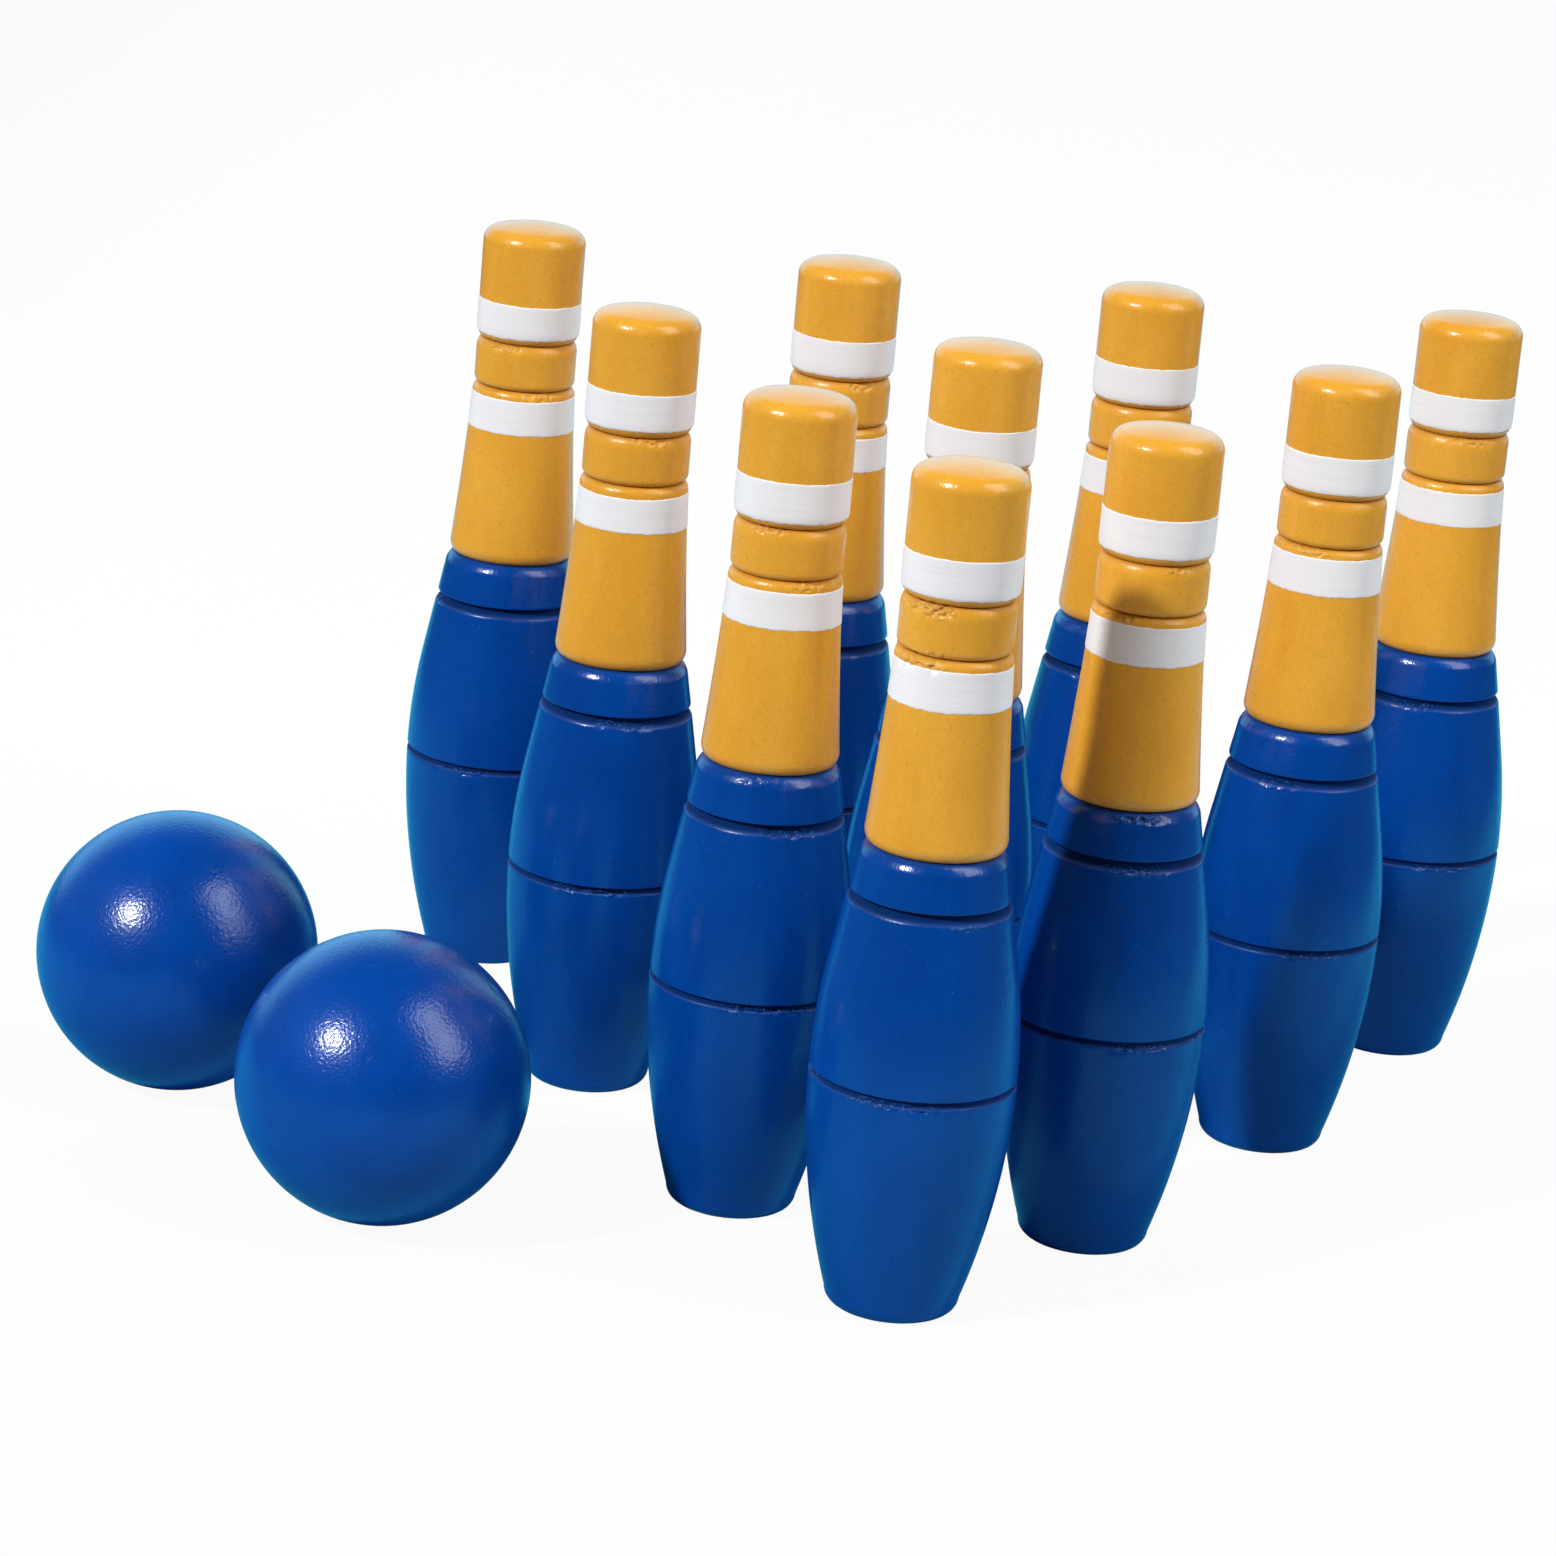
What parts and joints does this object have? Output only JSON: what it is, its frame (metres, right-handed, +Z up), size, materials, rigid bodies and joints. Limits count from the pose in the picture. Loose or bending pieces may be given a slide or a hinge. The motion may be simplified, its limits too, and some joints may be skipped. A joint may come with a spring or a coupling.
{
  "type": "wooden bowling set",
  "caption": "Painted wooden bowling set: turned barrel-shaped pins with banded, ringed necks stand loose in a triangle, and plain turned balls roll at them to knock them over.",
  "frame": {"origin": "on the floor, under the middle of the centre pin's flat foot", "axes": "+Z up, +Y from the front pin to the back row, +X to the right as seen from the front pin"},
  "size_m": [0.3677, 0.275, 0.2],
  "materials": {
    "blue_paint": "satin-gloss blue paint over turned wood",
    "yellow_paint": "satin-gloss ochre yellow paint over turned wood",
    "white_paint": "satin-gloss white paint, a thin coat over turned wood"
  },
  "bodies": {
    "pin_1": {"pin_1_body": "blue_paint", "pin_1_neck": "yellow_paint", "pin_1_head_band": "white_paint", "pin_1_neck_band": "white_paint"},
    "pin_2": {"pin_2_body": "blue_paint", "pin_2_neck": "yellow_paint", "pin_2_head_band": "white_paint", "pin_2_neck_band": "white_paint"},
    "pin_3": {"pin_3_body": "blue_paint", "pin_3_neck": "yellow_paint", "pin_3_head_band": "white_paint", "pin_3_neck_band": "white_paint"},
    "pin_4": {"pin_4_body": "blue_paint", "pin_4_neck": "yellow_paint", "pin_4_head_band": "white_paint", "pin_4_neck_band": "white_paint"},
    "pin_5": {"pin_5_body": "blue_paint", "pin_5_neck": "yellow_paint", "pin_5_head_band": "white_paint", "pin_5_neck_band": "white_paint"},
    "pin_6": {"pin_6_body": "blue_paint", "pin_6_neck": "yellow_paint", "pin_6_head_band": "white_paint", "pin_6_neck_band": "white_paint"},
    "pin_7": {"pin_7_body": "blue_paint", "pin_7_neck": "yellow_paint", "pin_7_head_band": "white_paint", "pin_7_neck_band": "white_paint"},
    "pin_8": {"pin_8_body": "blue_paint", "pin_8_neck": "yellow_paint", "pin_8_head_band": "white_paint", "pin_8_neck_band": "white_paint"},
    "pin_9": {"pin_9_body": "blue_paint", "pin_9_neck": "yellow_paint", "pin_9_head_band": "white_paint", "pin_9_neck_band": "white_paint"},
    "pin_10": {"pin_10_body": "blue_paint", "pin_10_neck": "yellow_paint", "pin_10_head_band": "white_paint", "pin_10_neck_band": "white_paint"},
    "left_ball": {"ball_left": "blue_paint"},
    "near_ball": {"ball_near": "blue_paint"}
  },
  "joints": [
    {"name": "pin_1_topple", "type": "hinge", "parent": "pin_5", "child": "pin_1", "pos_m": [0.00151, -0.15587, 0], "axis": [0.9945, 0.1045, 0], "range_deg": [0, 90]},
    {"name": "pin_2_topple", "type": "hinge", "parent": "pin_5", "child": "pin_2", "pos_m": [-0.04861, -0.09907, 0], "axis": [0.9613, -0.2756, 0], "range_deg": [0, 90]},
    {"name": "pin_3_topple", "type": "hinge", "parent": "pin_5", "child": "pin_3", "pos_m": [0.05121, -0.09855, 0], "axis": [0.9397, 0.342, 0], "range_deg": [0, 90]},
    {"name": "pin_4_topple", "type": "hinge", "parent": "pin_5", "child": "pin_4", "pos_m": [-0.10625, 0.01099, 0], "axis": [-0.3746, -0.9272, 0], "range_deg": [0, 90]},
    {"name": "pin_6_topple", "type": "hinge", "parent": "pin_5", "child": "pin_6", "pos_m": [0.11177, 0.00466, 0], "axis": [0.1392, 0.9903, 0], "range_deg": [0, 90]},
    {"name": "pin_7_topple", "type": "hinge", "parent": "pin_5", "child": "pin_7", "pos_m": [-0.13797, 0.11197, 0], "axis": [-0.7071, -0.7071, 0], "range_deg": [0, 90]},
    {"name": "pin_8_topple", "type": "hinge", "parent": "pin_5", "child": "pin_8", "pos_m": [-0.04051, 0.11287, 0], "axis": [-0.9945, -0.1045, 0], "range_deg": [0, 90]},
    {"name": "pin_9_topple", "type": "hinge", "parent": "pin_5", "child": "pin_9", "pos_m": [0.04351, 0.11587, 0], "axis": [-0.9945, 0.1045, 0], "range_deg": [0, 90]},
    {"name": "pin_10_topple", "type": "hinge", "parent": "pin_5", "child": "pin_10", "pos_m": [0.14239, 0.11043, 0], "axis": [-0.6428, 0.766, 0], "range_deg": [0, 90]},
    {"name": "ball_left_roll", "type": "slide", "parent": "pin_5", "child": "left_ball", "axis": [-0.9848, -0.1736, 0], "range_m": [0, 0.3]},
    {"name": "ball_near_roll", "type": "slide", "parent": "pin_5", "child": "near_ball", "axis": [-0.6157, -0.788, 0], "range_m": [0, 0.3]}
  ]
}
